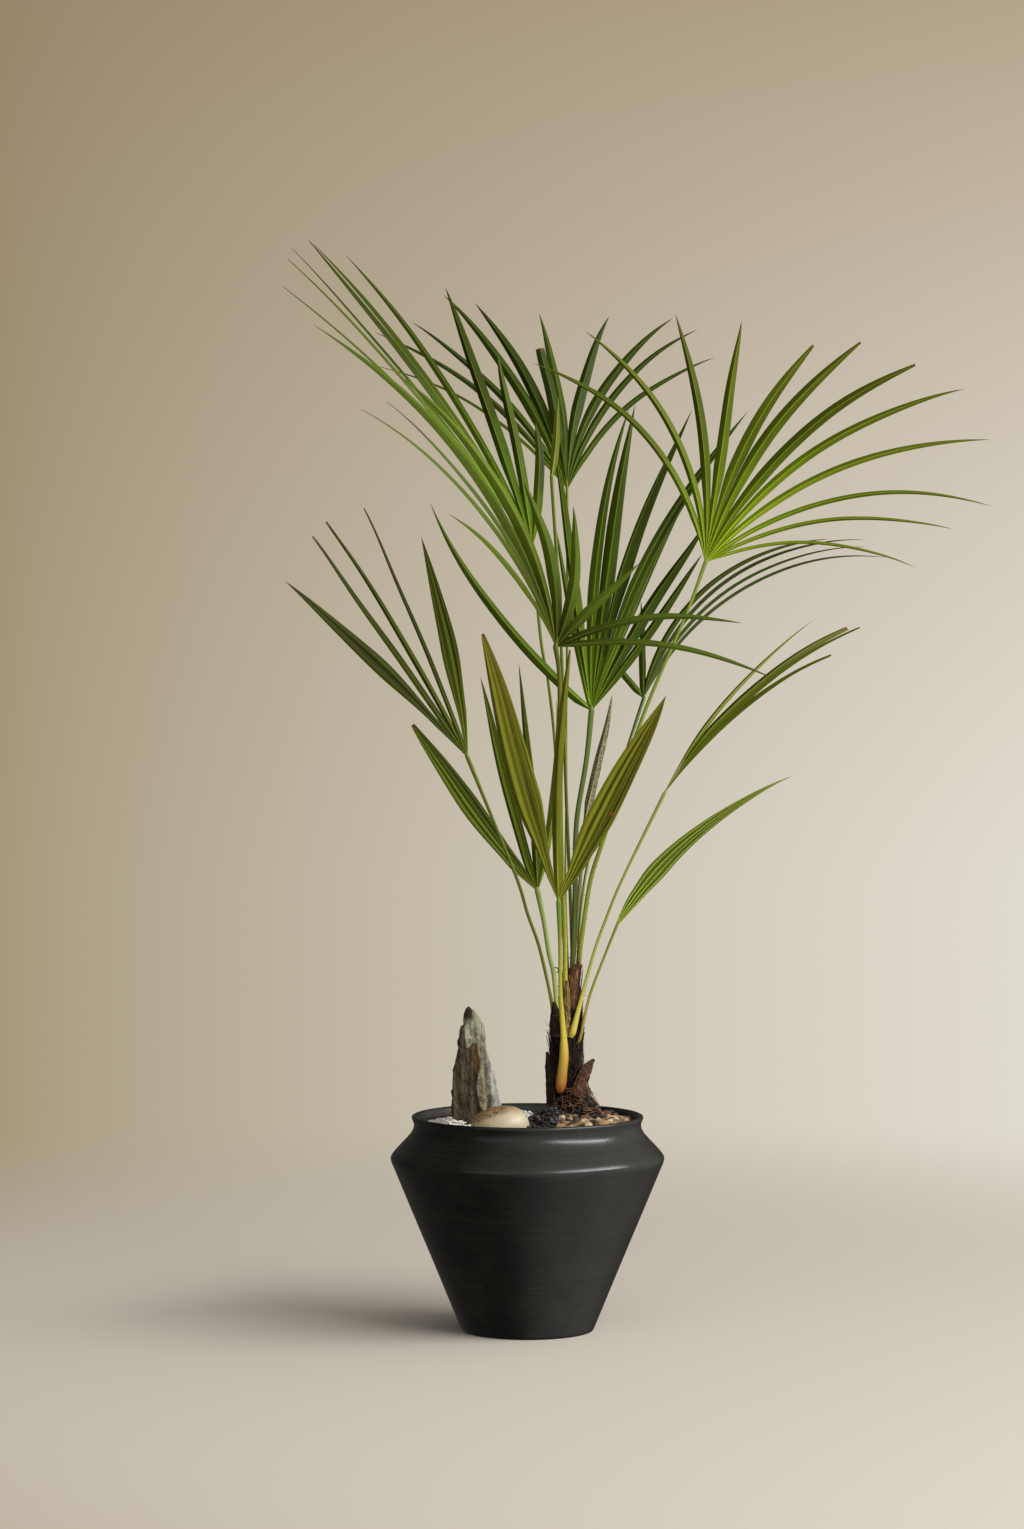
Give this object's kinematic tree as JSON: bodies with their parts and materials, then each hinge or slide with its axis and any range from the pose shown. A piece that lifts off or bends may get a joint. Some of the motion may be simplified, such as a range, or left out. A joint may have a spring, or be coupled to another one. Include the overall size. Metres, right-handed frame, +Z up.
{
  "type": "potted fan palm",
  "caption": "Young fan palm with pleated, split leaves on long stalks from a fibrous trunk, in a round black pot with coloured gravels, a standing stone and a pebble.",
  "frame": {"origin": "centre of the underside of the pot, on the surface it stands on", "axes": "+Z up along the pot's axis, +Y away from the front of the plant, +X to the right seen from the front"},
  "size_m": [0.5548, 0.4389, 0.879],
  "materials": {
    "black_ceramic": "matte black glaze with faint turning lines",
    "soil": "dark moist potting mix",
    "white_gravel": "white and cream chips",
    "black_gravel": "angular black chips",
    "tan_gravel": "angular tan and grey chips",
    "slate": "layered slate, grey-green with rust and cream bands",
    "cream_stone": "smooth cream pebble with brown specks",
    "fibre": "rough dark brown palm fibre",
    "dry_leaf": "dry brown leaf",
    "leaf_green": "satin pleated green leaf",
    "stalk_green": "satin green to yellow leaf stalk"
  },
  "bodies": {
    "root": {"pot": "black_ceramic", "soil": "soil", "gravel_white": "white_gravel", "gravel_black": "black_gravel", "gravel_tan": "tan_gravel", "standing_stone": "slate", "pebble": "cream_stone", "trunk": "fibre", "leaf_base_right": "dry_leaf", "leaf_base_left": "dry_leaf", "stalk_right_high": "stalk_green", "blade_right_high": "leaf_green", "stalk_centre": "stalk_green", "blade_centre": "leaf_green", "stalk_left_high": "stalk_green", "blade_left_high": "leaf_green", "stalk_front": "stalk_green", "blade_front": "leaf_green", "stalk_low_front": "stalk_green", "blade_low_front": "leaf_green", "stalk_low_left": "stalk_green", "blade_low_left": "leaf_green", "stalk_left": "stalk_green", "blade_left": "leaf_green", "stalk_low_right": "stalk_green", "blade_low_right": "leaf_green", "stalk_right_low": "stalk_green", "blade_right_low": "leaf_green", "stalk_right_back": "stalk_green", "blade_right_back": "leaf_green", "stalk_top_back": "stalk_green", "blade_top_back": "leaf_green", "stalk_dry": "dry_leaf", "blade_dry": "dry_leaf", "stalk_spear": "stalk_green", "blade_spear": "leaf_green"}
  },
  "joints": []
}
